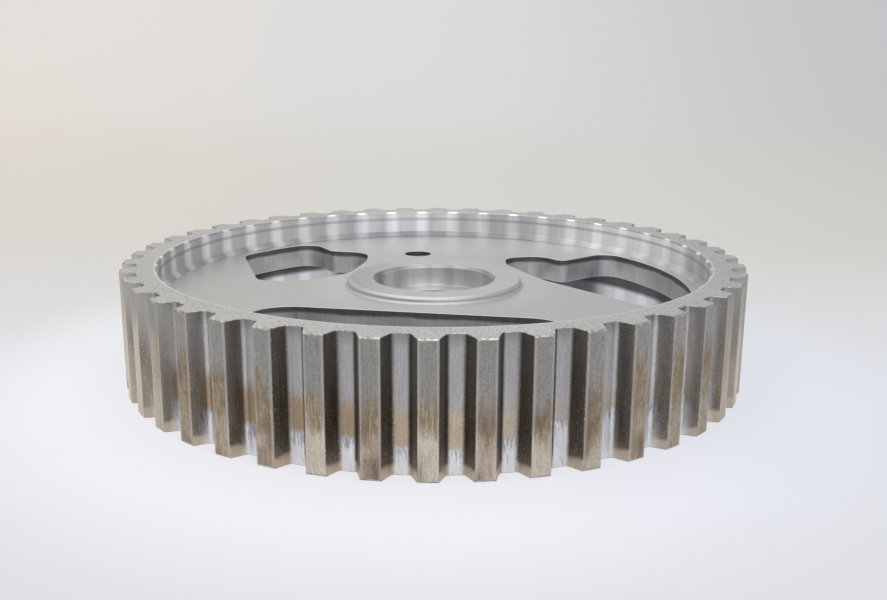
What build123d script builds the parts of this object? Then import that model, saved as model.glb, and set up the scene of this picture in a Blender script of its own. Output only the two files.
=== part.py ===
from build123d import *
import os
from math import cos, hypot, pi, radians, sin, tan

# Camshaft gear for a toothed timing belt: one sintered steel wheel.
# A rim with straight belt teeth is carried by a thin web with three windows,
# and the web by a hub that is bolted to the end of the camshaft.
# The wheel lies on its rear face. Z is the axis of rotation, and the origin
# is on that axis, in the plane of the rear face. The front face looks up.
# All lengths are in millimetres and all angles in degrees.

# Belt teeth
tooth_count = 44
belt_pitch = 9.525
belt_line_height = 0.38
tooth_depth = 3.17
groove_mouth = 6.0
flank_angle = 25.0
root_fillet = 0.9
tip_fillet = 0.4

# Rim
face_width = 24.6
rim_wall = 4.25
tooth_end_chamfer = 0.25
rim_bore_chamfer = 0.3

# Web
recess_depth = 6.5
web_thickness = 5.6
rim_foot_chamfer = 1.2

# Hub
boss_diameter = 38.4
boss_rise = 1.5
boss_edge_chamfer = 0.5
boss_foot_chamfer = 0.4
rear_hub_diameter = 36.0
rear_hub_setback = 2.0
rear_hub_foot_chamfer = 1.5
bore_diameter = 16.0
bolt_seat_diameter = 25.8
bolt_seat_depth = 4.8
bore_chamfer = 0.6

# Dowel hole
dowel_hole_diameter = 6.5
dowel_hole_radius = 33.5
dowel_hole_angle = 98.0

# Windows: the web keeps a land round the boss and a ledge inside the rim.
# Each window has an outer arc, given by its two end angles, and an inner side
# from the arc's second end back to its first. A corner of the inner side is
# (place, angle, radius), its place and its radius as shares of the distance
# from the land to the ledge.
hub_land = 3.0
rim_ledge = 3.2
window_corner = 4.5
right_window_arc = (-28.0, 39.5)
right_window_side = (
    (0.53, 39.2, 0.075),
    (0.55, 50.9, 0.15),
    (0.33, 59.3, 0.135),
    (0.14, 50.4, 0.18),
    (0.07, 11.5, 0.9),
)
left_window_arc = (125.5, 148.7)
left_window_side = (
    (0.52, 176.8, 0.105),
    (0.25, 178.5, 0.36),
    (0.00, 152.7, 0.21),
    (0.20, 126.0, 0.36),
    (0.47, 116.6, 0.165),
    (0.68, 126.9, 0.09),
)
front_window_arc = (220.1, 302.6)
front_window_side = (
    (0.46, 308.8, 0.24),
    (0.47, 212.4, 0.24),
)

# Sizes that follow from the ones above
pitch_radius = tooth_count * belt_pitch / (2 * pi)
tip_radius = pitch_radius - belt_line_height
root_radius = tip_radius - tooth_depth
rim_inner_radius = root_radius - rim_wall
web_front = face_width - recess_depth
web_rear = web_front - web_thickness
boss_radius = boss_diameter / 2
boss_front = web_front + boss_rise
rear_hub_radius = rear_hub_diameter / 2
window_inner_radius = boss_radius + hub_land
window_outer_radius = rim_inner_radius - rim_ledge
window_depth = window_outer_radius - window_inner_radius

# How far a cut runs past the face that it starts from
overrun = 1.0


def groove_half_width(radius):
    """Half the width of the plain groove between two teeth at a radius."""
    return groove_mouth / 2 + (radius - tip_radius) * tan(radians(flank_angle))


def web_point(share, angle):
    """A point of the web, from the hub's land (0) to the rim's ledge (1)."""
    radius = window_inner_radius + share * window_depth
    return (radius * cos(radians(angle)), radius * sin(radians(angle)))


def window(arc, side):
    """The outline of one window of the web, as a flat face."""
    start, end = arc
    corners = [web_point(share, angle) for share, angle, _ in side]
    radii = [share * window_depth for _, _, share in side]
    with BuildSketch() as outline:
        with BuildLine():
            ThreePointArc(
                web_point(1, start), web_point(1, (start + end) / 2), web_point(1, end)
            )
            FilletPolyline(web_point(1, end), *corners, web_point(1, start), radius=radii)
        make_face()
        ends = outline.vertices().sort_by_distance((0, 0))[-2:]
        fillet(ends, radius=window_corner)
    return outline.sketch


with BuildSketch() as groove:
    with BuildLine():
        root_half = groove_half_width(root_radius)
        open_half = groove_half_width(tip_radius + overrun)
        Polyline(
            (root_radius, -root_half),
            (tip_radius + overrun, -open_half),
            (tip_radius + overrun, open_half),
            (root_radius, root_half),
            close=True,
        )
    make_face()
    fillet(groove.vertices().group_by(Axis.X)[0], radius=root_fillet)

with BuildSketch() as toothed_outline:
    Circle(tip_radius)
    with PolarLocations(0, tooth_count, start_angle=180 / tooth_count - 90):
        add(groove.sketch, mode=Mode.SUBTRACT)
    tooth_corners = toothed_outline.vertices().group_by(lambda v: round(hypot(v.X, v.Y), 2))[-1]
    fillet(tooth_corners, radius=tip_fillet)

with BuildSketch(Plane.XZ) as front_recess:
    with BuildLine():
        Polyline(
            (0, boss_front),
            (boss_radius, boss_front),
            (boss_radius, web_front),
            (rim_inner_radius, web_front),
            (rim_inner_radius, face_width - rim_bore_chamfer),
            (rim_inner_radius + rim_bore_chamfer, face_width),
            (rim_inner_radius + rim_bore_chamfer, face_width + overrun),
            (0, face_width + overrun),
            close=True,
        )
    make_face()
    boss_foot, rim_foot = front_recess.vertices().group_by(Axis.Y)[0].sort_by(Axis.X)
    boss_edge = front_recess.vertices().group_by(Axis.Y)[1].sort_by(Axis.X)[-1]
    chamfer(boss_foot, length=boss_foot_chamfer)
    chamfer(rim_foot, length=rim_foot_chamfer)
    chamfer(boss_edge, length=boss_edge_chamfer)

with BuildSketch(Plane.XZ) as rear_recess:
    with BuildLine():
        Polyline(
            (0, rear_hub_setback),
            (rear_hub_radius, rear_hub_setback),
            (rear_hub_radius, web_rear),
            (rim_inner_radius, web_rear),
            (rim_inner_radius, rim_bore_chamfer),
            (rim_inner_radius + rim_bore_chamfer, 0),
            (rim_inner_radius + rim_bore_chamfer, -overrun),
            (0, -overrun),
            close=True,
        )
    make_face()
    hub_foot, rim_foot = rear_recess.vertices().group_by(Axis.Y)[-1].sort_by(Axis.X)
    chamfer(hub_foot, length=rear_hub_foot_chamfer)
    chamfer(rim_foot, length=rim_foot_chamfer)

with BuildSketch(Plane.XY.offset(web_rear - overrun)) as windows:
    add(window(right_window_arc, right_window_side))
    add(window(left_window_arc, left_window_side))
    add(window(front_window_arc, front_window_side))

with BuildPart() as camshaft_gear:
    # Toothed blank, with a turned chamfer at both ends of the teeth
    with BuildSketch(Plane.XZ) as turned_rim:
        with Locations((tip_radius / 2, face_width / 2)):
            Rectangle(tip_radius, face_width)
        chamfer(turned_rim.vertices().group_by(Axis.X)[-1], length=tooth_end_chamfer)
    revolve(axis=Axis.Z)
    add(toothed_outline.sketch)
    extrude(amount=face_width, mode=Mode.INTERSECT)

    # Recesses in both faces leave the web, the front boss and the rear hub
    add(front_recess.sketch)
    add(rear_recess.sketch)
    revolve(axis=Axis.Z, mode=Mode.SUBTRACT)

    # Windows
    add(windows.sketch)
    extrude(amount=web_thickness + 2 * overrun, mode=Mode.SUBTRACT)

    # Seat for the bolt's head, and the bore for the end of the camshaft
    with Locations((0, 0, boss_front)):
        CounterBoreHole(
            radius=bore_diameter / 2,
            counter_bore_radius=bolt_seat_diameter / 2,
            counter_bore_depth=bolt_seat_depth,
        )
    hub_circles = camshaft_gear.edges().filter_by(GeomType.CIRCLE)
    seat_mouth = hub_circles.filter_by(lambda e: e.radius == bolt_seat_diameter / 2).sort_by(Axis.Z)[-1]
    bore_mouth = hub_circles.filter_by(lambda e: e.radius == bore_diameter / 2).sort_by(Axis.Z)[0]
    chamfer([seat_mouth, bore_mouth], length=bore_chamfer)

    # Dowel hole through the web
    with Locations(Plane.XY.offset(web_front)):
        with PolarLocations(dowel_hole_radius, 1, start_angle=dowel_hole_angle):
            Hole(radius=dowel_hole_diameter / 2)

camshaft_gear.part.label = "camshaft_gear"

os.makedirs("parts", exist_ok=True)
export_step(camshaft_gear.part, "parts/camshaft_gear.step")
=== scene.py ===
import logging
import math
from dataclasses import dataclass
from enum import Enum
from typing import Any, Iterable

import bpy
from mathutils import Matrix, Vector


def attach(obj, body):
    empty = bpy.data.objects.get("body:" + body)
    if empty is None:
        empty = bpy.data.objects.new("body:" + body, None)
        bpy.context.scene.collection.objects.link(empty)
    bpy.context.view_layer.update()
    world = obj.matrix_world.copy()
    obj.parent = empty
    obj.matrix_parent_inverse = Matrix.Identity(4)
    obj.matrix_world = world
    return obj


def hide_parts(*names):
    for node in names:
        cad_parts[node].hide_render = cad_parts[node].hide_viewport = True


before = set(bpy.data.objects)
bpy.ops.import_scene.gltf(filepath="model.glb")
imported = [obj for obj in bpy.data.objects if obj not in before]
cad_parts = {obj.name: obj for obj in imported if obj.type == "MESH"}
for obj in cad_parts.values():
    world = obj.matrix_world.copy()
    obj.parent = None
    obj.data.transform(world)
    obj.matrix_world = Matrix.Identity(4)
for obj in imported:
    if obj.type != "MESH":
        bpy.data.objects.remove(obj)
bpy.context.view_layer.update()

log = logging.getLogger("camshaft_gear")

# Lengths are in metres, in the frame of the CAD part: Z is the axis of
# rotation, and the gear lies with its rear face on the plane z = 0.
# X points to the viewer's right, and Y away from the viewer.
MM = 0.001

Socket = bpy.types.NodeSocket
Rgb = tuple[float, float, float]
Xyz = tuple[float, float, float]
Pair = tuple[float, float]


class Zone(Enum):
    """The surfaces of the gear that have a finish of their own."""

    TOOTH_TIP = 0
    BELT_GROOVE = 1
    RIM_FACE = 2
    RECESS_WALL = 3
    RIM_LIP = 4
    WEB = 5
    WINDOW_WALL = 6
    BOSS_FACE = 7
    BOLT_SEAT = 8
    BROKEN_EDGE = 9


@dataclass(frozen=True)
class GearSizes:
    """The sizes of the CAD part that the finishes are laid out by, in metres."""

    tooth_count: int = 44
    tip_radius: float = 66.32 * MM
    root_radius: float = 63.15 * MM
    rim_inner_radius: float = 58.9 * MM
    face_width: float = 24.6 * MM
    web_front: float = 18.1 * MM
    web_rear: float = 12.5 * MM
    boss_radius: float = 19.2 * MM
    boss_front: float = 19.6 * MM
    rear_hub_end: float = 2.0 * MM
    seat_radius: float = 12.9 * MM
    seat_floor: float = 14.8 * MM
    bore_radius: float = 8.0 * MM


GEAR = GearSizes()


def select_only(piece: bpy.types.Object) -> None:
    """Selects one object and makes it the active one.

    Args:
        piece: The object that the next operators act on.
    """
    bpy.ops.object.select_all(action="DESELECT")
    piece.select_set(True)
    bpy.context.view_layer.objects.active = piece


@dataclass(frozen=True)
class Pattern:
    """A cloud pattern that a surface is painted with.

    Attributes:
        scale: Its waves to the metre.
        detail: How many finer patterns are added to it.
        rough: How strong the finer ones are.
        drawn: Its scale along the axis. A small one draws it out into lines.
    """

    scale: float
    detail: float = 3.0
    rough: float = 0.5
    drawn: float = 1.0


@dataclass(frozen=True)
class Coat:
    """A colour that lies over another.

    Attributes:
        colour: The colour.
        share: How much of it shows, from 0 to 1.
    """

    colour: Rgb
    share: float


@dataclass
class Place:
    """Sockets that say where on the gear a point of a surface is.

    Attributes:
        point: The point itself, in object coordinates.
        side: Its distance to the right of the axis.
        depth: Its distance behind the axis, away from the viewer.
        height: Its height above the rear face.
        radius: Its distance from the axis.
        off_tooth: Its angle from the middle of the nearest tooth, from 0 to
            0.5 of the pitch, which is the middle of a groove.
        groove_side: The distance to the right of the groove that it lies in.
        groove_chance: A number from 0 to 1 that each groove has of its own.
    """

    point: Socket
    side: Socket
    depth: Socket
    height: Socket
    radius: Socket
    off_tooth: Socket
    groove_side: Socket
    groove_chance: Socket


class Bench:
    """Builds the node tree of one material.

    Attributes:
        material: The material.
        at: Where on the gear a point of it is.
    """

    def __init__(self, name: str) -> None:
        """Starts an empty material.

        Args:
            name: The name of the material.
        """
        self.material = bpy.data.materials.new(name)
        self.material.use_nodes = True
        self.tree = self.material.node_tree
        self.tree.nodes.clear()
        self.at = self.place()

    def node(self, kind: str, inputs: dict[Any, Any], **settings: Any) -> bpy.types.Node:
        """Adds a node.

        Args:
            kind: The node's type name, without the ShaderNode in front.
            inputs: What its input sockets get, by their names or numbers.
            settings: Properties of the node.

        Returns:
            The new node.
        """
        made = self.tree.nodes.new("ShaderNode" + kind)
        for name, value in settings.items():
            setattr(made, name, value)
        for name, value in inputs.items():
            self.feed(made.inputs[name], value)
        return made

    def feed(self, socket: Socket, value: Any) -> None:
        """Links a socket to another one, or gives it a constant.

        Args:
            socket: The input socket.
            value: An output socket, a number, a colour or a vector.
        """
        if isinstance(value, bpy.types.NodeSocket):
            self.tree.links.new(value, socket)
        elif socket.type == "RGBA" and len(value) == 3:
            socket.default_value = (*value, 1.0)
        else:
            socket.default_value = value

    def math(self, operation: str, *values: Any, clamp: bool = False) -> Socket:
        """Does sums with sockets and numbers.

        Args:
            operation: The name of the operation.
            values: One to three operands.
            clamp: Whether the result is kept from 0 to 1.

        Returns:
            The result.
        """
        made = self.node("Math", dict(enumerate(values)), operation=operation, use_clamp=clamp)
        return made.outputs[0]

    def plus(self, first: Any, second: Any) -> Socket:
        """Gives the sum of two values."""
        return self.math("ADD", first, second)

    def minus(self, first: Any, second: Any) -> Socket:
        """Gives the first value less the second."""
        return self.math("SUBTRACT", first, second)

    def times(self, first: Any, second: Any) -> Socket:
        """Gives the product of two values."""
        return self.math("MULTIPLY", first, second)

    def larger(self, first: Any, second: Any) -> Socket:
        """Gives the larger of two values."""
        return self.math("MAXIMUM", first, second)

    def noise(self, pattern: Pattern) -> Socket:
        """Adds a cloud pattern.

        Args:
            pattern: The pattern.

        Returns:
            The pattern, from 0 to 1, mostly near 0.5.
        """
        vector = self.at.point
        if pattern.drawn != 1.0:
            scale = (1.0, 1.0, pattern.drawn)
            vector = self.node("VectorMath", {0: vector, 1: scale}, operation="MULTIPLY").outputs[0]
        inputs = {"Vector": vector, "Scale": pattern.scale, "Detail": pattern.detail}
        made = self.node("TexNoise", {**inputs, "Roughness": pattern.rough})
        return made.outputs["Fac"]

    def step(self, value: Any, low: Any, high: Any) -> Socket:
        """Turns a value into a soft step, from 0 at low to 1 at high.

        Args:
            value: The value.
            low: Where the step starts. It may be above high, for a falling step.
            high: Where the step ends.

        Returns:
            The step.
        """
        inputs = {"Value": value, "From Min": low, "From Max": high}
        return self.node("MapRange", inputs, interpolation_type="SMOOTHSTEP").outputs["Result"]

    def span(self, value: Socket, low: float, high: float) -> Socket:
        """Maps a pattern's usual range, 0.25 to 0.75, to low and high.

        Args:
            value: The pattern.
            low: The result where the pattern is 0.25.
            high: The result where the pattern is 0.75.

        Returns:
            The mapped value.
        """
        inputs = {"Value": value, "From Min": 0.25, "From Max": 0.75, "To Min": low, "To Max": high}
        return self.node("MapRange", inputs).outputs["Result"]

    def tint(self, share: Any, under: Any, over: Any, blend: str = "MIX") -> Socket:
        """Lays one colour over another.

        Args:
            share: How much of the upper colour shows, from 0 to 1.
            under: The lower colour.
            over: The upper colour.
            blend: How they are mixed.

        Returns:
            The mixed colour.
        """
        inputs = {0: share, 6: under, 7: over}
        made = self.node("Mix", inputs, data_type="RGBA", blend_type=blend, clamp_factor=True)
        return made.outputs[2]

    def coat(self, mask: Socket, under: Any, coat: Coat) -> Socket:
        """Lays a coat over a colour where the mask is 1, and leaves it where that is 0."""
        return self.tint(self.times(mask, coat.share), under, coat.colour)

    def shade(self, colour: Any, factor: Socket) -> Socket:
        """Multiplies a colour by a factor."""
        made = self.node("VectorMath", {0: colour, "Scale": factor}, operation="SCALE")
        return made.outputs[0]

    def lighten(self, colour: Any, mask: Any, share: Any) -> Socket:
        """Makes a colour lighter by a share of itself, where the mask is 1."""
        return self.shade(colour, self.plus(1.0, self.times(mask, share)))

    def darken(self, colour: Any, mask: Any, share: Any) -> Socket:
        """Makes a colour darker by a share of itself, where the mask is 1."""
        return self.shade(colour, self.minus(1.0, self.times(mask, share)))

    def mottle(self, colour: Any, pattern: Socket, low: float, high: float) -> Socket:
        """Shades a colour by a pattern, from the factor low to the factor high."""
        return self.shade(colour, self.span(pattern, low, high))

    def place(self) -> Place:
        """Works out where on the gear a point is.

        Returns:
            The sockets that say so.
        """
        point = self.node("TexCoord", {}).outputs["Object"]
        x, y, z = self.node("SeparateXYZ", {0: point}).outputs
        radius = self.math("SQRT", self.plus(self.times(x, x), self.times(y, y)))
        turn = self.math("ARCTAN2", x, self.times(y, -1.0))
        pitches = self.times(turn, GEAR.tooth_count / (2 * math.pi))
        off_tooth = self.math("ABSOLUTE", self.minus(pitches, self.math("ROUND", pitches)))
        groove = self.plus(self.math("FLOOR", pitches), 0.5)
        groove_turn = self.times(groove, 2 * math.pi / GEAR.tooth_count)
        groove_side = self.times(self.math("SINE", groove_turn), GEAR.root_radius)
        chance = self.node("TexWhiteNoise", {"W": groove}, noise_dimensions="1D")
        return Place(point, x, y, z, radius, off_tooth, groove_side, chance.outputs["Value"])

    def to_side(self) -> Socket:
        """Gives 0 in the gear's middle and 1 at its left and right sides."""
        return self.step(self.math("ABSOLUTE", self.at.side), 15 * MM, 45 * MM)

    def at_flank(self) -> Socket:
        """Gives 1 at the rim's left and right ends, and 0 in front and behind."""
        from_front = self.step(self.at.depth, -42 * MM, -12 * MM)
        return self.times(from_front, self.step(self.at.depth, 50 * MM, 20 * MM))

    def at_end(self) -> Socket:
        """Gives 1 at the teeth farthest left and right, and 0 elsewhere."""
        left = self.step(self.at.side, -46 * MM, -54 * MM)
        return self.larger(left, self.step(self.at.side, 52 * MM, 60 * MM))

    def bump(self, height: Socket, depth: float, under: Socket | None = None) -> Socket:
        """Turns a pattern into relief.

        Args:
            height: The pattern, from 0 to 1.
            depth: How deep the pattern is, in metres.
            under: Another relief that this one lies on.

        Returns:
            The normal for the shader.
        """
        inputs = {"Strength": 1.0, "Distance": depth, "Height": height}
        if under is not None:
            inputs["Normal"] = under
        return self.node("Bump", inputs).outputs["Normal"]

    def metal(self, colour: Any, rough: Any, normal: Socket) -> bpy.types.Material:
        """Ends the tree with bare metal.

        Args:
            colour: What the metal reflects.
            rough: Its roughness.
            normal: Its relief.

        Returns:
            The finished material.
        """
        inputs = {"Metallic": 1.0, "Base Color": colour, "Roughness": rough, "Normal": normal}
        shader = self.node("BsdfPrincipled", inputs)
        self.node("OutputMaterial", {"Surface": shader.outputs[0]})
        return self.material


@dataclass(frozen=True)
class PressedFace:
    """The pressed end faces of the rim: pale, with a sandy grain."""

    colour: Rgb = (0.62, 0.62, 0.615)
    sparkle: Coat = Coat((0.86, 0.85, 0.82), 0.8)
    pit: Coat = Coat((0.16, 0.15, 0.14), 0.45)
    inner_line: Coat = Coat((0.84, 0.83, 0.81), 0.5)
    side_shade: float = 0.08
    sand: Pattern = Pattern(2200.0, 4.0, 0.8)
    sand_depth: float = 0.05 * MM
    dust: Pattern = Pattern(3740.0, 2.0, 0.7)
    pits: Pattern = Pattern(1320.0, 1.0)
    cloud: Pattern = Pattern(90.0)

    def make(self) -> bpy.types.Material:
        """Builds the material.

        Returns:
            The material.
        """
        bench = Bench("pressed_rim_face")
        sand = bench.noise(self.sand)
        colour = bench.mottle(self.colour, sand, 0.50, 1.44)
        colour = bench.mottle(colour, bench.noise(self.cloud), 0.93, 1.06)
        # Painted shade: the face is darker towards the left and right sides.
        colour = bench.darken(colour, bench.to_side(), self.side_shade)
        sparkle = bench.step(bench.noise(self.dust), 0.62, 0.72)
        colour = bench.coat(sparkle, colour, self.sparkle)
        pits = bench.step(bench.noise(self.pits), 0.34, 0.24)
        colour = bench.coat(pits, colour, self.pit)
        line_start = GEAR.rim_inner_radius + 0.6 * MM
        line = bench.step(bench.at.radius, line_start + 0.4 * MM, line_start)
        colour = bench.coat(line, colour, self.inner_line)
        relief = bench.bump(sand, self.sand_depth)
        return bench.metal(colour, bench.span(sand, 0.60, 0.42), relief)


@dataclass(frozen=True)
class SmoothWeb:
    """The web and its foot on the rim: even grey with a fine grain.

    It has painted shade at the foot of the boss, is paler round that, and has a painted sheen at
    the back.
    """

    colour: Rgb = (0.60, 0.605, 0.60)
    foot_shade: float = 0.17
    back_sheen: float = 0.15
    boss_gain: float = 0.08
    grain: Pattern = Pattern(2600.0, 3.0, 0.6)
    grain_depth: float = 0.002 * MM
    cloud: Pattern = Pattern(55.0, 4.0)

    def make(self) -> bpy.types.Material:
        """Builds the material.

        Returns:
            The material.
        """
        bench = Bench("smooth_web")
        at = bench.at
        grain = bench.noise(self.grain)
        cloud = bench.noise(self.cloud)
        colour = bench.mottle(self.colour, grain, 0.95, 1.05)
        colour = bench.mottle(colour, cloud, 1.03, 0.96)
        # Painted shade in the foot of the boss.
        outside = bench.step(at.radius, GEAR.boss_radius - 0.6 * MM, GEAR.boss_radius - 0.4 * MM)
        inside = bench.step(at.radius, GEAR.boss_radius + 0.6 * MM, GEAR.boss_radius + 0.4 * MM)
        foot = bench.times(outside, inside)
        colour = bench.darken(colour, foot, self.foot_shade)
        # A painted sheen, lighter towards the back; the web is also lighter round the boss.
        painted_back_sheen = bench.times(bench.step(at.depth, 15 * MM, 45 * MM), self.back_sheen)
        round_boss = bench.times(bench.step(at.radius, 30 * MM, 21 * MM), self.boss_gain)
        colour = bench.shade(colour, bench.plus(bench.plus(1.0, painted_back_sheen), round_boss))
        relief = bench.bump(grain, self.grain_depth)
        return bench.metal(colour, bench.span(cloud, 0.42, 0.47), relief)


@dataclass(frozen=True)
class StainedTip:
    """The crests of the teeth: drawn lines along the tooth, brown where the belt ran, with painted
    light and shade round the gear and a painted highlight at both edges.
    """

    colour: Rgb = (0.32, 0.31, 0.29)
    stain: Rgb = (0.285, 0.205, 0.12)
    pale_stain: Rgb = (0.47, 0.395, 0.295)
    deep_stain: Coat = Coat((0.155, 0.11, 0.065), 0.6)
    stain_share: float = 0.85
    stain_top: float = 13.5 * MM
    worn: Rgb = (0.64, 0.57, 0.475)
    worn_top: float = 7.5 * MM
    end_tan: Rgb = (0.84, 0.74, 0.60)
    edge_highlight: Coat = Coat((0.62, 0.60, 0.56), 0.35)
    lines: Pattern = Pattern(5600.0, 4.0, 0.75, drawn=0.06)
    line_depth: float = 0.008 * MM
    grain: Pattern = Pattern(3000.0, 4.0, 0.8, drawn=0.6)
    grain_depth: float = 0.006 * MM
    spots: Pattern = Pattern(900.0, 3.0, 0.6)
    broad: Pattern = Pattern(900.0, 3.0, 0.6, drawn=0.12)
    patch: Pattern = Pattern(90.0, 3.0, 0.6, drawn=0.5)

    def make(self) -> bpy.types.Material:
        """Builds the material.

        Returns:
            The material.
        """
        bench = Bench("stained_tooth_tip")
        at = bench.at
        lines = bench.noise(self.lines)
        grain = bench.noise(self.grain)
        patch = bench.noise(self.patch)
        to_side = bench.to_side()
        edge = bench.plus(at.height, bench.span(bench.noise(self.broad), -1.6 * MM, 1.6 * MM))
        edge = bench.plus(edge, bench.span(patch, -4.0 * MM, 4.0 * MM))
        raised = bench.minus(edge, bench.times(to_side, 4.0 * MM))
        stained = bench.step(raised, self.stain_top + 4.0 * MM, self.stain_top - 2.5 * MM)
        brown = bench.tint(bench.step(lines, 0.40, 0.66), self.stain, self.pale_stain)
        spots = bench.step(bench.noise(self.spots), 0.50, 0.66)
        brown = bench.tint(spots, brown, self.stain)
        brown = bench.coat(bench.step(patch, 0.50, 0.62), brown, self.deep_stain)
        colour = bench.tint(bench.times(stained, self.stain_share), self.colour, brown)
        worn = bench.step(edge, self.worn_top + 2.5 * MM, self.worn_top - 2.5 * MM)
        worn = bench.times(worn, bench.step(patch, 0.66, 0.42))
        worn = bench.times(worn, bench.minus(0.9, bench.times(to_side, 0.6)))
        colour = bench.tint(worn, colour, self.worn)
        colour = bench.mottle(colour, lines, 0.74, 1.26)
        colour = bench.mottle(colour, grain, 0.70, 1.30)
        # Painted shade: the stained part darker towards the left and right sides.
        colour = bench.darken(colour, bench.times(to_side, stained), 0.16)
        # Painted light: the crests lighter towards the left and right sides of the rim, most at the
        # far left.
        pale = bench.plus(bench.times(bench.at_flank(), 0.35), bench.times(to_side, 0.12))
        left_end = bench.step(at.side, -50 * MM, -60 * MM)
        pale = bench.plus(pale, bench.times(left_end, 0.2))
        colour = bench.shade(colour, bench.plus(1.0, pale))
        end_tan = bench.times(bench.times(bench.at_end(), stained), 0.6)
        colour = bench.tint(end_tan, colour, bench.mottle(self.end_tan, lines, 0.85, 1.12))
        # Painted highlight along both edges of each crest.
        colour = bench.coat(bench.step(at.off_tooth, 0.125, 0.165), colour, self.edge_highlight)
        relief = bench.bump(lines, self.line_depth, bench.bump(grain, self.grain_depth))
        return bench.metal(colour, bench.span(lines, 0.36, 0.50), relief)


@dataclass(frozen=True)
class BeltGroove:
    """The grooves: flanks dark with painted shade, floors rubbed bright.

    The floor has a brown band, a bare, cracked foot and painted light at the sides. The flanks are
    pale at the rear end, with painted light on the far half of the gear.
    """

    # The flanks' dark colour is painted shade.
    shaded_flank: Rgb = (0.175, 0.152, 0.125)
    flank_top: Coat = Coat((0.25, 0.245, 0.235), 0.6)
    flank_lit: Rgb = (0.63, 0.60, 0.54)
    flank_tan: Coat = Coat((0.80, 0.70, 0.56), 0.2)
    flank_foot: Rgb = (0.52, 0.43, 0.33)
    foot_height: float = 2.0 * MM
    speck: Rgb = (0.62, 0.58, 0.50)
    floor: Rgb = (0.455, 0.45, 0.448)
    floor_top: Coat = Coat((0.22, 0.22, 0.235), 0.6)
    band: Rgb = (0.385, 0.28, 0.17)
    pale_band: Rgb = (0.53, 0.44, 0.33)
    band_top: float = 14.5 * MM
    band_bottom: float = 5.9 * MM
    bare: Rgb = (0.78, 0.78, 0.79)
    crack: Coat = Coat((0.20, 0.19, 0.185), 0.7)
    lines: Pattern = Pattern(4400.0, 3.0, 0.65, drawn=0.04)
    line_depth: float = 0.008 * MM
    grain: Pattern = Pattern(3600.0, 2.0)
    grain_depth: float = 0.006 * MM
    flank_sand: Pattern = Pattern(2600.0, 3.0, 0.8, drawn=0.5)
    flank_patch: Pattern = Pattern(260.0, drawn=0.4)
    specks: Pattern = Pattern(4000.0, 1.0)
    speck_crowds: Pattern = Pattern(320.0, 1.0, drawn=0.3)
    cracks: Pattern = Pattern(4800.0, 3.0, 0.7, drawn=0.07)
    floor_broad: Pattern = Pattern(1300.0, 2.0, drawn=0.15)
    floor_patch: Pattern = Pattern(120.0, 2.0, drawn=0.6)

    def make(self) -> bpy.types.Material:
        """Builds the material.

        Returns:
            The material.
        """
        bench = Bench("belt_groove")
        lines = bench.noise(self.lines)
        grain = bench.noise(self.grain)
        shaded_flank = self.flank_colour(bench, lines)
        floor = self.floor_colour(bench, lines, grain)
        # Where the flank's painted shade gives way to the floor; it is narrower at the sides.
        ragged = bench.plus(bench.at.off_tooth, bench.span(grain, -0.006, 0.006))
        to_side = bench.to_side()
        start = bench.minus(0.335, bench.times(to_side, 0.115))
        end = bench.minus(0.41, bench.times(to_side, 0.075))
        colour = bench.tint(bench.step(ragged, start, end), shaded_flank, floor)
        relief = bench.bump(lines, self.line_depth, bench.bump(grain, self.grain_depth))
        return bench.metal(colour, bench.span(lines, 0.32, 0.48), relief)

    def flank_colour(self, bench: Bench, lines: Socket) -> Socket:
        """Paints the flanks.

        Args:
            bench: The bench of the material.
            lines: The drawn lines along the tooth.

        Returns:
            The colour.
        """
        at = bench.at
        patch = bench.noise(self.flank_patch)
        colour = bench.mottle(self.shaded_flank, lines, 0.75, 1.25)
        colour = bench.mottle(colour, patch, 0.75, 1.3)
        colour = bench.mottle(colour, bench.noise(self.flank_sand), 0.65, 1.35)
        # Less painted shade towards the top of the flank.
        top = bench.times(bench.step(at.height, 9.0 * MM, 23.0 * MM), self.flank_top.share)
        colour = bench.tint(top, colour, self.flank_top.colour)
        # Painted light on the flanks: on the far half, at the rim's left and right ends and on the
        # upper left.
        lit = bench.times(bench.step(at.depth, -20 * MM, 20 * MM), 0.3)
        lit = bench.larger(lit, bench.times(bench.at_flank(), 0.65))
        on_left = bench.times(bench.step(at.side, -35 * MM, -60 * MM), top)
        lit = bench.larger(lit, bench.plus(bench.times(bench.to_side(), 0.03), on_left))
        lit = bench.larger(lit, bench.times(bench.step(at.side, -56 * MM, -63 * MM), 0.9))
        colour = bench.tint(lit, colour, self.flank_lit)
        low = bench.step(at.height, 15.0 * MM, 8.0 * MM)
        colour = bench.coat(bench.times(bench.at_end(), low), colour, self.flank_tan)
        dots = bench.step(bench.noise(self.specks), 0.64, 0.72)
        crowds = bench.step(bench.noise(self.speck_crowds), 0.44, 0.58)
        colour = bench.tint(bench.times(dots, crowds), colour, self.speck)
        edge = bench.plus(at.height, bench.span(patch, -0.5 * MM, 0.5 * MM))
        foot = bench.step(edge, self.foot_height + 0.5 * MM, self.foot_height - 0.5 * MM)
        return bench.tint(foot, colour, bench.mottle(self.flank_foot, lines, 0.8, 1.2))

    def floor_colour(self, bench: Bench, lines: Socket, grain: Socket) -> Socket:
        """Paints the floors.

        Args:
            bench: The bench of the material.
            lines: The drawn lines along the tooth.
            grain: A fine grain.

        Returns:
            The colour.
        """
        at = bench.at
        colour = bench.mottle(self.floor, lines, 0.80, 1.20)
        # Painted light: the floors lighter towards the left and right sides.
        colour = bench.lighten(colour, bench.to_side(), 0.35)
        colour = bench.mottle(colour, grain, 0.86, 1.14)
        top = bench.step(at.height, GEAR.face_width - 3.0 * MM, GEAR.face_width)
        colour = bench.coat(top, colour, self.floor_top)

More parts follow.
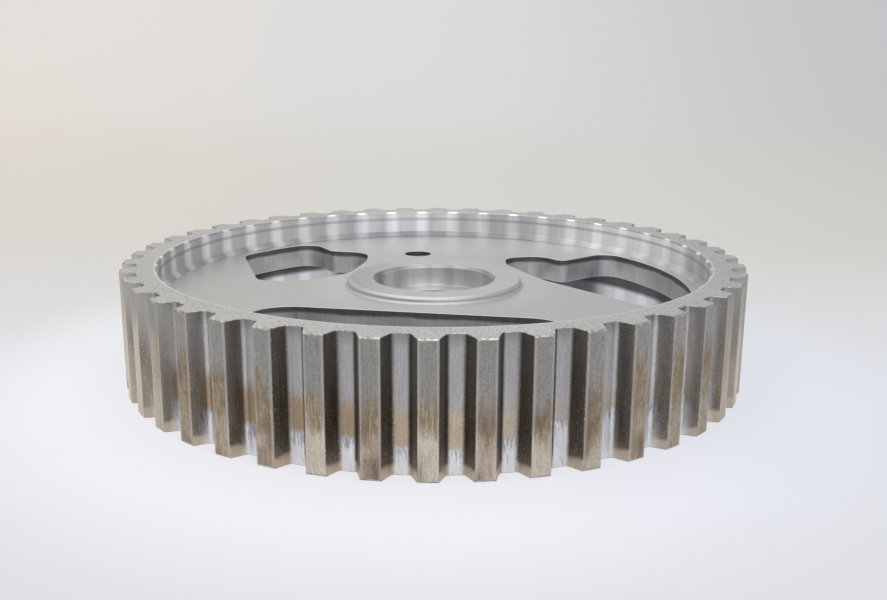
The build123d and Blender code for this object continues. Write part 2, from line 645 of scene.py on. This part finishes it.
        # The belt's brown band, at a height of its own in each groove
        patch = bench.noise(self.floor_patch)
        edge = bench.plus(at.height, bench.span(patch, -0.5 * MM, 0.5 * MM))
        edge = bench.plus(edge, bench.times(bench.minus(at.groove_chance, 0.5), 1.6 * MM))
        broad = bench.noise(self.floor_broad)
        soft = bench.plus(edge, bench.span(broad, -0.9 * MM, 0.9 * MM))
        below_top = bench.step(soft, self.band_top, self.band_top - 4.5 * MM)
        band = bench.tint(bench.step(at.groove_side, -16 * MM, 4 * MM), self.band, self.pale_band)
        band = bench.mottle(band, lines, 0.8, 1.25)
        band = bench.mottle(band, grain, 0.84, 1.16)
        on_right = bench.step(at.groove_side, 8 * MM, 22 * MM)
        strength = bench.minus(0.92, bench.times(on_right, 0.4))
        colour = bench.tint(bench.times(below_top, strength), colour, band)

        # The bare foot, with its ragged upper edge and its cracks
        cracks = bench.noise(self.cracks)
        ragged = bench.plus(edge, bench.span(cracks, -1.1 * MM, 1.1 * MM))
        ragged = bench.minus(ragged, bench.times(on_right, 3 * MM))
        bare = bench.step(ragged, self.band_bottom + 0.4 * MM, self.band_bottom - 0.4 * MM)
        colour = bench.tint(bare, colour, bench.mottle(self.bare, lines, 0.88, 1.1))
        fewer = bench.times(bench.step(ragged, 1.5 * MM, 5.5 * MM), 0.12)
        crack = bench.step(bench.minus(cracks, fewer), 0.42, 0.34)
        return bench.coat(bench.times(crack, bare), colour, self.crack)


@dataclass(frozen=True)
class RecessWall:
    """The inner wall of the rim, with a painted highlight streak behind each groove.

    Behind the web it lies in shadow, but for two pools of light that fall
    through the windows. Their directions and their reach are in degrees.
    """

    colour: Rgb = (0.46, 0.465, 0.48)
    highlight_streak: Rgb = (0.68, 0.685, 0.71)
    side_lit_colour: Rgb = (0.57, 0.57, 0.58)
    side_highlight_streak: Rgb = (0.98, 0.98, 0.99)
    right_light: float = 0.42
    right_end_shade: float = 0.3
    dark_line: Coat = Coat((0.2, 0.2, 0.21), 0.45)
    dark_line_drop: float = 2.0 * MM
    foot_shade: float = 0.28
    shine: Rgb = (0.95, 0.95, 0.98)
    shadow: Coat = Coat((0.05, 0.05, 0.053), 0.8)
    corner: Coat = Coat((0.04, 0.04, 0.042), 0.9)
    lines: Pattern = Pattern(2600.0, 3.0, 0.6, drawn=0.05)
    line_depth: float = 0.006 * MM
    uneven: Pattern = Pattern(110.0, 2.0)
    wave_depth: float = 0.10 * MM
    draft: float = 0.22
    pools: Pair = (129.0, 33.0)
    pool_reach: float = 9.0

    def make(self) -> bpy.types.Material:
        """Builds the material.

        Returns:
            The material.
        """
        bench = Bench("recess_wall")
        at = bench.at
        lines = bench.noise(self.lines)
        # Painted highlight: a bright streak behind each groove, uneven in strength.
        highlight_streak = bench.step(at.off_tooth, 0.20, 0.42)
        highlight_streak = bench.times(highlight_streak, bench.span(bench.noise(self.uneven), 0.6, 1.0))
        colour = self.front_colour(bench, lines, highlight_streak)
        colour = self.behind_web(bench, colour, highlight_streak)
        wave = bench.math("COSINE", bench.times(at.off_tooth, 2 * math.pi))
        from_web = bench.math("ABSOLUTE", bench.minus(at.height, GEAR.web_rear))
        slope = bench.bump(bench.times(from_web, -self.draft), 1.0)
        relief = bench.bump(wave, self.wave_depth, bench.bump(lines, self.line_depth, slope))
        return bench.metal(colour, bench.span(lines, 0.34, 0.46), relief)

    def front_colour(self, bench: Bench, lines: Socket, highlight_streak: Socket) -> Socket:
        """Paints the wall as it looks in front of the web.

        Args:
            bench: The bench of the material.
            lines: The drawn lines along the wall.
            highlight_streak: Where the painted highlight streaks are.

        Returns:
            The colour.
        """
        at = bench.at
        to_side = bench.to_side()
        # Painted light: the wall lighter towards the sides, and more so on the right.
        colour = bench.tint(to_side, self.colour, self.side_lit_colour)
        on_right = bench.step(at.side, 20 * MM, 54 * MM)
        colour = bench.lighten(colour, on_right, self.right_light)
        colour = bench.mottle(colour, lines, 0.88, 1.1)
        colour = bench.tint(highlight_streak, colour, bench.tint(to_side, self.highlight_streak, self.side_highlight_streak))
        # Painted shade at the right end of the wall.
        right_end = bench.step(at.side, 57 * MM, 58.5 * MM)
        colour = bench.darken(colour, right_end, self.right_end_shade)
        # A darker line 2 mm below the rim's mouth.
        from_dark_line = bench.math("ABSOLUTE", bench.minus(at.height, GEAR.face_width - self.dark_line_drop))
        colour = bench.coat(bench.step(from_dark_line, 0.6 * MM, 0.1 * MM), colour, self.dark_line)
        # Painted shade at the foot of the wall.
        foot = bench.step(at.height, GEAR.web_front + 1.5 * MM, GEAR.web_front + 1.0 * MM)
        return bench.darken(colour, foot, self.foot_shade)

    def behind_web(self, bench: Bench, colour: Socket, highlight_streak: Socket) -> Socket:
        """Lays light and shadow on the part of the wall behind the web.

        Args:
            bench: The bench of the material.
            colour: The colour of the wall.
            highlight_streak: Where the painted highlight streaks are.

        Returns:
            The colour.
        """
        at = bench.at
        behind = bench.step(at.height, GEAR.web_rear + 0.4 * MM, GEAR.web_rear)
        pool = bench.plus(*(self.pool(bench, angle) for angle in self.pools))
        shine = bench.times(bench.plus(0.55, bench.times(highlight_streak, 0.45)), pool)
        colour = bench.tint(bench.times(shine, behind), colour, self.shine)
        shadow = bench.times(bench.math("SUBTRACT", 1.0, pool, clamp=True), behind)
        colour = bench.coat(shadow, colour, self.shadow)
        # Painted shade in the corner under the web, deeper in the middle.
        deeper = bench.times(bench.step(at.side, -10 * MM, 10 * MM), 1.1 * MM)
        height = bench.plus(at.height, deeper)
        corner = bench.step(height, GEAR.web_rear - 3.2 * MM, GEAR.web_rear - 1.8 * MM)
        return bench.coat(bench.times(corner, behind), colour, self.corner)

    def pool(self, bench: Bench, angle: float) -> Socket:
        """Marks the part of the wall that gets light through a window.

        Args:
            bench: The bench of the material.
            angle: The direction of the middle of the light, in degrees.

        Returns:
            1 in the light and 0 outside it.
        """
        turn = math.radians(angle)
        middle = (math.cos(turn), math.sin(turn), 0.0)
        along = bench.node("VectorMath", {0: bench.at.point, 1: middle}, operation="DOT_PRODUCT")
        outer = GEAR.rim_inner_radius * math.cos(math.radians(self.pool_reach * 1.5))
        inner = GEAR.rim_inner_radius * math.cos(math.radians(self.pool_reach * 0.8))
        return bench.step(along.outputs["Value"], outer, inner)


@dataclass(frozen=True)
class RimLip:
    """The chamfers at both mouths of the rim, with a glint behind each groove."""

    colour: Rgb = (0.42, 0.42, 0.42)
    glint: Rgb = (0.98, 0.98, 1.0)
    sand: Pattern = Pattern(2200.0, 2.0, 0.6)
    sand_depth: float = 0.015 * MM

    def make(self) -> bpy.types.Material:
        """Builds the material.

        Returns:
            The material.
        """
        bench = Bench("rim_lip")
        sand = bench.noise(self.sand)
        glint = bench.step(bench.at.off_tooth, 0.28, 0.46)
        colour = bench.tint(glint, bench.mottle(self.colour, sand, 0.75, 1.3), self.glint)
        rough = bench.minus(0.42, bench.times(glint, 0.15))
        return bench.metal(colour, rough, bench.bump(sand, self.sand_depth))


@dataclass(frozen=True)
class WindowWall:
    """The walls of the windows, pressed and left as they came, with painted shade on the near side
    and a painted dark reflection at their mouth.
    """

    colour: Rgb = (0.58, 0.58, 0.585)
    near_shade: float = 0.08
    mouth: Coat = Coat((0.07, 0.07, 0.072), 0.85)
    mouth_band: float = 1.5 * MM
    lines: Pattern = Pattern(2400.0, 3.0, 0.6, drawn=0.08)
    line_depth: float = 0.01 * MM
    cloud: Pattern = Pattern(140.0)

    def make(self) -> bpy.types.Material:
        """Builds the material.

        Returns:
            The material.
        """
        bench = Bench("window_wall")
        at = bench.at
        lines = bench.noise(self.lines)
        cloud = bench.noise(self.cloud)
        colour = bench.mottle(self.colour, lines, 0.9, 1.1)
        colour = bench.mottle(colour, cloud, 0.82, 1.18)
        # Painted shade on the near side.
        near = bench.step(at.depth, -10 * MM, -30 * MM)
        colour = bench.darken(colour, near, self.near_shade)
        # Painted reflection: a dark band along the mouth of the wall.
        height = bench.plus(at.height, bench.span(cloud, -0.3 * MM, 0.3 * MM))
        mouth_end = GEAR.web_front - self.mouth_band
        mouth = bench.step(height, mouth_end - 0.2 * MM, mouth_end + 0.5 * MM)
        colour = bench.coat(mouth, colour, self.mouth)
        relief = bench.bump(lines, self.line_depth)
        return bench.metal(colour, bench.span(lines, 0.38, 0.52), relief)


@dataclass(frozen=True)
class TurnedFace:
    """Faces of the hub that were turned: bright, with rings of fine tool marks.

    The wall of the bolt's seat has upright stripes of painted reflection, lighter and darker by a
    share. The seat's mouth and the faces' left side have painted shade.
    """

    name: str
    colour: Rgb
    rough: float = 0.30
    reflection_bars: float = 0.0
    left_shade: float = 0.27
    mouth_shade: float = 0.42
    ring_pitch: float = 0.22 * MM
    ring_depth: float = 0.002 * MM
    fine: Pattern = Pattern(3000.0, 2.0)
    fine_depth: float = 0.004 * MM
    cloud: Pattern = Pattern(160.0)
    bar: Pattern = Pattern(230.0, 2.0, drawn=0.05)

    def make(self) -> bpy.types.Material:
        """Builds the material.

        Returns:
            The material.
        """
        bench = Bench(self.name)
        at = bench.at
        cloud = bench.noise(self.cloud)
        fine = bench.noise(self.fine)
        colour = bench.mottle(self.colour, cloud, 0.93, 1.06)
        colour = bench.mottle(colour, fine, 0.95, 1.05)
        # Painted reflection: upright stripes on the wall of the seat.
        on_wall = bench.step(at.radius, GEAR.seat_radius - 0.7 * MM, GEAR.seat_radius - 0.2 * MM)
        reflection_bars = bench.span(bench.noise(self.bar), -self.reflection_bars, self.reflection_bars)
        colour = bench.lighten(colour, reflection_bars, on_wall)
        # Painted shade at the mouth of the seat.
        mouth = bench.step(at.height, GEAR.boss_front - 0.65 * MM, GEAR.boss_front - 0.5 * MM)
        inside = bench.step(at.radius, GEAR.seat_radius + 0.60 * MM, GEAR.seat_radius + 0.55 * MM)
        colour = bench.darken(colour, bench.times(mouth, inside), self.mouth_shade)
        # Painted shade towards the left.
        on_left = bench.step(at.side, -5 * MM, -17 * MM)
        colour = bench.darken(colour, on_left, self.left_shade)
        across = bench.plus(at.radius, at.height)
        rings = bench.math("SINE", bench.times(across, 2 * math.pi / self.ring_pitch))
        relief = bench.bump(rings, self.ring_depth, bench.bump(fine, self.fine_depth))
        rough = bench.span(cloud, self.rough - 0.04, self.rough + 0.04)
        return bench.metal(colour, rough, relief)


@dataclass(frozen=True)
class BrokenEdge:
    """The narrow broken edges, worn a little brighter than the faces."""

    dull: Rgb = (0.30, 0.288, 0.27)
    worn: Rgb = (0.54, 0.53, 0.51)
    glint: Rgb = (0.88, 0.86, 0.82)
    wear: Pattern = Pattern(1500.0, 3.0, 0.6)
    fine: Pattern = Pattern(5200.0, 1.0)
    fine_depth: float = 0.008 * MM

    def make(self) -> bpy.types.Material:
        """Builds the material.

        Returns:
            The material.
        """
        bench = Bench("broken_edge")
        wear = bench.noise(self.wear)
        fine = bench.noise(self.fine)
        colour = bench.tint(bench.step(wear, 0.42, 0.62), self.dull, self.worn)
        in_middle = bench.minus(1.0, bench.times(bench.to_side(), 0.8))
        glints = bench.times(bench.step(fine, 0.60, 0.70), in_middle)
        colour = bench.tint(glints, colour, self.glint)
        relief = bench.bump(fine, self.fine_depth)
        return bench.metal(colour, bench.span(wear, 0.46, 0.32), relief)


FINISHES = {
    Zone.TOOTH_TIP: StainedTip(),
    Zone.BELT_GROOVE: BeltGroove(),
    Zone.RIM_FACE: PressedFace(),
    Zone.RECESS_WALL: RecessWall(),
    Zone.WEB: SmoothWeb(),
    Zone.WINDOW_WALL: WindowWall(),
    Zone.BOSS_FACE: TurnedFace("turned_boss_face", (0.66, 0.66, 0.65)),
    Zone.BOLT_SEAT: TurnedFace("turned_bolt_seat", (0.66, 0.66, 0.67), rough=0.42, reflection_bars=0.3),
    Zone.RIM_LIP: RimLip(),
    Zone.BROKEN_EDGE: BrokenEdge(),
}


@dataclass
class GearBody:
    """The whole gear: one sintered piece, dressed surface by surface.

    Attributes:
        node: The CAD node that the piece stands for.
        slot: The material slot of the record; it is not used.
        merge_distance: Corners nearer than this are one corner.
        flat_angle: Faces that differ by less are one flat face, in radians.
        edge_break: The width of the broken edges.
        edge_angle: Edges sharper than this are broken, in radians.
        smooth_angle: Faces that differ by less are shaded smoothly, in radians.
        level_limit: A face is level if its direction rises by more than this.
        upright_limit: A face is upright if its direction rises by less.
    """

    node: str = "camshaft_gear"
    slot: str = "sintered_steel"
    merge_distance: float = 0.002 * MM
    flat_angle: float = math.radians(0.4)
    edge_break: float = 0.13 * MM
    edge_angle: float = math.radians(36)
    smooth_angle: float = math.radians(42)
    level_limit: float = 0.98
    upright_limit: float = 0.05

    def build(self) -> bpy.types.Object:
        """Makes the piece from the solid's own shape and dresses it.

        Returns:
            The finished piece.
        """
        piece = self.merged_copy()
        plain = len(piece.data.polygons)
        self.break_edges(piece)
        self.dress(piece)
        self.smooth(piece)
        broken = len(piece.data.polygons)
        log.info("%s: %d faces, %d with the edges broken", piece.name, plain, broken)
        return piece

    def merged_copy(self) -> bpy.types.Object:
        """Copies the solid's mesh and joins its loose triangles into faces.

        Returns:
            The copy.
        """
        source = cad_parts[self.node]
        piece = bpy.data.objects.new("gear_body", source.data.copy())
        bpy.context.scene.collection.objects.link(piece)
        select_only(piece)
        bpy.ops.object.mode_set(mode="EDIT")
        bpy.ops.mesh.select_all(action="SELECT")
        bpy.ops.mesh.remove_doubles(threshold=self.merge_distance)
        bpy.ops.mesh.dissolve_limited(angle_limit=self.flat_angle)
        bpy.ops.object.mode_set(mode="OBJECT")
        return piece

    def break_edges(self, piece: bpy.types.Object) -> None:
        """Breaks every sharp edge with a narrow round.

        At the corners of the teeth the round runs a little past the end
        faces, and is set back level with them.

        Args:
            piece: The merged gear.
        """
        select_only(piece)
        bevel = piece.modifiers.new("broken_edges", "BEVEL")
        bevel.width = self.edge_break
        bevel.segments = 2
        bevel.limit_method = "ANGLE"
        bevel.angle_limit = self.edge_angle
        bevel.use_clamp_overlap = False
        bpy.ops.object.modifier_apply(modifier=bevel.name)
        for corner in piece.data.vertices:
            corner.co.z = min(max(corner.co.z, 0.0), GEAR.face_width)

    def dress(self, piece: bpy.types.Object) -> None:
        """Gives each face the finish of the surface that it belongs to.

        Args:
            piece: The gear with its edges broken.
        """
        mesh = piece.data
        mesh.materials.clear()
        for zone in Zone:
            mesh.materials.append(FINISHES[zone].make())
        for face in mesh.polygons:
            corners = [mesh.vertices[index].co for index in face.vertices]
            radius = sum(math.hypot(corner.x, corner.y) for corner in corners) / len(corners)
            face.material_index = self.zone_of(face.center, face.normal, radius).value

    def zone_of(self, centre: Vector, normal: Vector, radius: float) -> Zone:
        """Says which surface of the gear a face belongs to.

        The margins beside the gear's sizes take in the chamfers and rounds
        that border a surface.

        Args:
            centre: The middle of the face.
            normal: Its direction.
            radius: How far its corners are from the axis, on average.

        Returns:
            The surface.
        """
        outward = (normal.x * centre.x + normal.y * centre.y) / max(radius, MM)
        upright = abs(normal.z) < self.upright_limit
        level = abs(normal.z) > self.level_limit
        if radius > GEAR.root_radius - 1.0 * MM and upright:
            on_tip = radius > GEAR.tip_radius - 0.4 * MM and outward > 0.75
            return Zone.TOOTH_TIP if on_tip else Zone.BELT_GROOVE
        if radius > GEAR.rim_inner_radius - 0.2 * MM and level:
            return Zone.RIM_FACE
        by_wall = GEAR.rim_inner_radius - 1.5 * MM < radius < GEAR.rim_inner_radius + 0.6 * MM
        if by_wall and outward < -0.2:
            near_mouth = min(centre.z, GEAR.face_width - centre.z) < 0.6 * MM
            return Zone.RIM_LIP if near_mouth and not upright else Zone.RECESS_WALL
        in_web = GEAR.web_rear < centre.z < GEAR.web_front
        if in_web and upright and radius > GEAR.boss_radius + 0.5 * MM:
            return Zone.WINDOW_WALL
        before_web = centre.z > GEAR.boss_front - 0.3 * MM
        behind_web = centre.z < GEAR.rear_hub_end + 0.3 * MM
        if level and (before_web or behind_web) and radius < GEAR.boss_radius:
            return Zone.BOSS_FACE
        in_seat = radius < GEAR.seat_radius + 0.75 * MM and centre.z > GEAR.seat_floor - 0.5 * MM
        if in_seat or radius < GEAR.bore_radius + 0.7 * MM:
            return Zone.BOLT_SEAT
        if radius < GEAR.rim_inner_radius - 0.2 * MM:
            return Zone.WEB
        return Zone.BROKEN_EDGE

    def smooth(self, piece: bpy.types.Object) -> None:
        """Shades round surfaces smoothly, and keeps the large flat ones flat.

        Args:
            piece: The dressed gear.
        """
        select_only(piece)
        bpy.ops.object.shade_smooth_by_angle(angle=self.smooth_angle)
        flat = piece.modifiers.new("flat_faces", "WEIGHTED_NORMAL")
        flat.weight = 100
        flat.keep_sharp = True
        bpy.ops.object.modifier_apply(modifier=flat.name)


@dataclass(frozen=True)
class Softbox:
    """A square lamp that points at the gear.

    Attributes:
        name: Its name.
        place: Where it hangs.
        side: The side of the square.
        watts: Its power.
        colour: The colour of its light.
    """

    name: str
    place: Xyz
    side: float
    watts: float
    colour: Rgb

    def hang(self) -> None:
        """Hangs the lamp and points it at the gear."""
        data = bpy.data.lights.new(self.name, "AREA")
        data.shape = "SQUARE"
        data.size = self.side
        data.energy = self.watts
        data.color = self.colour
        lamp = bpy.data.objects.new(self.name, data)
        bpy.context.scene.collection.objects.link(lamp)
        lamp.location = self.place
        aim = Vector((0, 0, GEAR.face_width / 2)) - Vector(self.place)
        lamp.rotation_euler = aim.to_track_quat("-Z", "Y").to_euler()
        log.info("lamp: %s", self.name)


LAMPS = (
    Softbox("overhead_softbox", (-0.10, -0.02, 0.62), 0.90, 1.9, (1.0, 0.99, 0.97)),
    Softbox("front_fill", (0.15, -0.60, 0.42), 0.50, 1.0, (0.96, 0.98, 1.0)),
)


@dataclass
class Studio:
    """The pale table, the backdrop that it sweeps up into, and the lamps.

    Attributes:
        table_left: The table's colour to the left of the gear.
        table_right: Its colour to the right of the gear.
        table_outer: Its colour farther out.
        table_glow: How much of its colour is plain, and takes no shadow.
        table_middle: The stretch in x from its left colour to the right one.
        table_ring: The stretch of radius where the outer one sets in.
        backdrop_left: The backdrop's colour at the left.
        backdrop_middle: Its colour in the middle.
        backdrop_right: Its colour at the right.
        left_end: The stretch in x from its left colour to the middle one.
        right_end: The stretch in x from that to the right one.
        warm: What its low part is multiplied by.
        cool: What its high part is multiplied by.
        cooling: The stretch in y from warm to cool.
        fade: The stretch in y from the table to the backdrop.
        half_width: Half the width of the sheet.
        front_edge: Where the sheet starts, towards the viewer.
        back_edge: Where it turns up.
        height: How high it goes.
        bend_radius: The radius of the bend between table and backdrop.
        world_colour: The colour of the light from all round.
        world_strength: The strength of that light.
    """

    table_left: Rgb = (0.875, 0.875, 0.925)
    table_right: Rgb = (0.77, 0.79, 0.875)
    table_outer: Rgb = (0.735, 0.74, 0.775)
    table_glow: float = 0.75
    table_middle: Pair = (0.0, 0.085)
    table_ring: Pair = (0.078, 0.118)
    backdrop_left: Rgb = (0.76, 0.71, 0.65)
    backdrop_middle: Rgb = (0.695, 0.69, 0.675)
    backdrop_right: Rgb = (0.55, 0.545, 0.54)
    left_end: Pair = (-0.45, 0.05)
    right_end: Pair = (-0.05, 0.5)
    warm: Rgb = (0.985, 0.972, 0.95)
    cool: Rgb = (1.02, 1.035, 1.075)
    cooling: Pair = (0.3, 1.0)
    fade: Pair = (-0.03, 0.17)
    half_width: float = 2.0
    front_edge: float = -2.0
    back_edge: float = 1.2
    height: float = 1.6
    bend_radius: float = 0.5
    world_colour: Rgb = (0.80, 0.80, 0.79)
    world_strength: float = 0.9

    def build(self) -> None:
        """Lays the sheet, hangs the lamps and sets the world's colour."""
        sheet = self.sheet()
        sheet.data.materials.append(self.paper())
        log.info("backdrop: %s", sheet.name)
        for lamp in LAMPS:
            lamp.hang()
        self.world()

    def sheet(self) -> bpy.types.Object:
        """Models the sheet from a plane: its back edge is drawn up and the bend rounded.

        Returns:
            The sheet.
        """
        middle = (self.front_edge + self.back_edge) / 2
        bpy.ops.mesh.primitive_plane_add(size=1.0, location=(0, middle, 0))
        sheet = bpy.context.object
        sheet.name = "studio_sheet"
        sheet.scale = (2 * self.half_width, self.back_edge - self.front_edge, 1.0)
        bpy.ops.object.transform_apply(location=True, rotation=True, scale=True)
        self.select_back_edge(sheet)
        bpy.ops.mesh.extrude_region_move(TRANSFORM_OT_translate={"value": (0, 0, self.height)})
        bpy.ops.object.mode_set(mode="OBJECT")
        self.select_back_edge(sheet)
        bpy.ops.mesh.bevel(offset=self.bend_radius, segments=24, affect="EDGES")
        bpy.ops.object.mode_set(mode="OBJECT")
        bpy.ops.object.shade_smooth()
        return sheet

    def select_back_edge(self, sheet: bpy.types.Object) -> None:
        """Selects the edge where the table ends, and goes into edit mode.

        Args:
            sheet: The sheet.
        """
        select_only(sheet)
        bpy.ops.object.mode_set(mode="EDIT")
        bpy.ops.mesh.select_mode(type="EDGE")
        bpy.ops.mesh.select_all(action="DESELECT")
        bpy.ops.object.mode_set(mode="OBJECT")
        corners = sheet.data.vertices
        for edge in sheet.data.edges:
            ends = [corners[index].co for index in edge.vertices]
            edge.select = all(abs(end.y - self.back_edge) < MM and abs(end.z) < MM for end in ends)
        bpy.ops.object.mode_set(mode="EDIT")

    def paper(self) -> bpy.types.Material:
        """Makes the sheet's material: matt, and plain colour where it is the backdrop.

        Returns:
            The material.
        """
        bench = Bench("studio_paper")
        at = bench.at
        middle = bench.step(at.side, *self.left_end)
        right = bench.step(at.side, *self.right_end)
        backdrop = bench.tint(middle, self.backdrop_left, self.backdrop_middle)
        backdrop = bench.tint(right, backdrop, self.backdrop_right)
        cast = bench.tint(bench.step(at.depth, *self.cooling), self.warm, self.cool)
        backdrop = bench.tint(1.0, backdrop, cast, "MULTIPLY")
        # Painted light: the table lighter near the gear and to the left, darker to the right and
        # farther out.
        right = bench.step(at.side, *self.table_middle)
        table = bench.tint(right, self.table_left, self.table_right)
        table = bench.tint(bench.step(at.radius, *self.table_ring), table, self.table_outer)
        far = bench.step(at.depth, *self.fade)
        colour = bench.tint(far, table, backdrop)
        matt = bench.node("BsdfDiffuse", {"Color": colour})
        plain = bench.node("Emission", {"Color": colour})
        ray = bench.node("LightPath", {}).outputs
        seen = bench.math("ADD", ray["Is Camera Ray"], ray["Is Glossy Ray"], clamp=True)
        seen = bench.math("ADD", seen, ray["Is Transmission Ray"], clamp=True)
        glow = bench.times(seen, bench.larger(far, self.table_glow))
        mix = bench.node("MixShader", {0: glow, 1: matt.outputs[0], 2: plain.outputs[0]})
        bench.node("OutputMaterial", {"Surface": mix.outputs[0]})
        return bench.material

    def world(self) -> None:
        """Sets an even pale world."""
        world = bpy.data.worlds.new("studio_world")
        world.use_nodes = True
        background = world.node_tree.nodes["Background"]
        background.inputs["Color"].default_value = (*self.world_colour, 1.0)
        background.inputs["Strength"].default_value = self.world_strength
        bpy.context.scene.world = world
        log.info("world: %s", world.name)


@dataclass
class PhotoCamera:
    """The camera of the photograph.

    Attributes:
        focal_pixels: The focal length, in pixels of the photograph.
        picture_width: The width of the photograph, in pixels.
        sensor: The width of the sensor, in millimetres.
        distance: From the camera to the point that it looks at.
        elevation: How far it looks down, in degrees.
        azimuth: How far round the gear it stands from the middle of a tooth, in degrees.
        target: The point that it looks at.
        roll: How far it is turned about its own line of sight, in degrees.
    """

    focal_pixels: float = 1031.5
    picture_width: float = 887.0
    sensor: float = 36.0
    distance: float = 229.16 * MM
    elevation: float = 14.046
    azimuth: float = 0.256
    target: Xyz = (2.04 * MM, 0.0, 14.34 * MM)
    roll: float = 0.37

    def build(self) -> None:
        """Sets the camera up and makes it the scene's own."""
        data = bpy.data.cameras.new("photo_camera")
        data.sensor_width = self.sensor
        data.lens = self.focal_pixels / self.picture_width * self.sensor
        data.clip_start = 10 * MM
        camera = bpy.data.objects.new("photo_camera", data)
        bpy.context.scene.collection.objects.link(camera)
        down = math.radians(self.elevation)
        round_gear = Matrix.Rotation(math.radians(self.azimuth), 4, "Z")
        sight = round_gear @ Vector((0, math.cos(down), -math.sin(down)))
        camera.location = round_gear @ Vector(self.target) - self.distance * sight
        camera.rotation_mode = "XYZ"
        aim = sight.to_track_quat("-Z", "Y").to_matrix().to_4x4()
        camera.rotation_euler = (aim @ Matrix.Rotation(math.radians(self.roll), 4, "Z")).to_euler()
        bpy.context.scene.camera = camera
        log.info("camera: %.1f mm lens", data.lens)


def main() -> None:
    """Builds the gear, the studio and the camera, in that order."""
    logging.basicConfig(level=logging.INFO, format="%(name)s: %(message)s")
    bpy.context.scene.view_settings.view_transform = "Standard"
    body = GearBody()
    piece = body.build()
    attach(piece, "root")
    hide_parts(body.node)
    Studio().build()
    PhotoCamera().build()


if __name__ == "__main__":
    main()
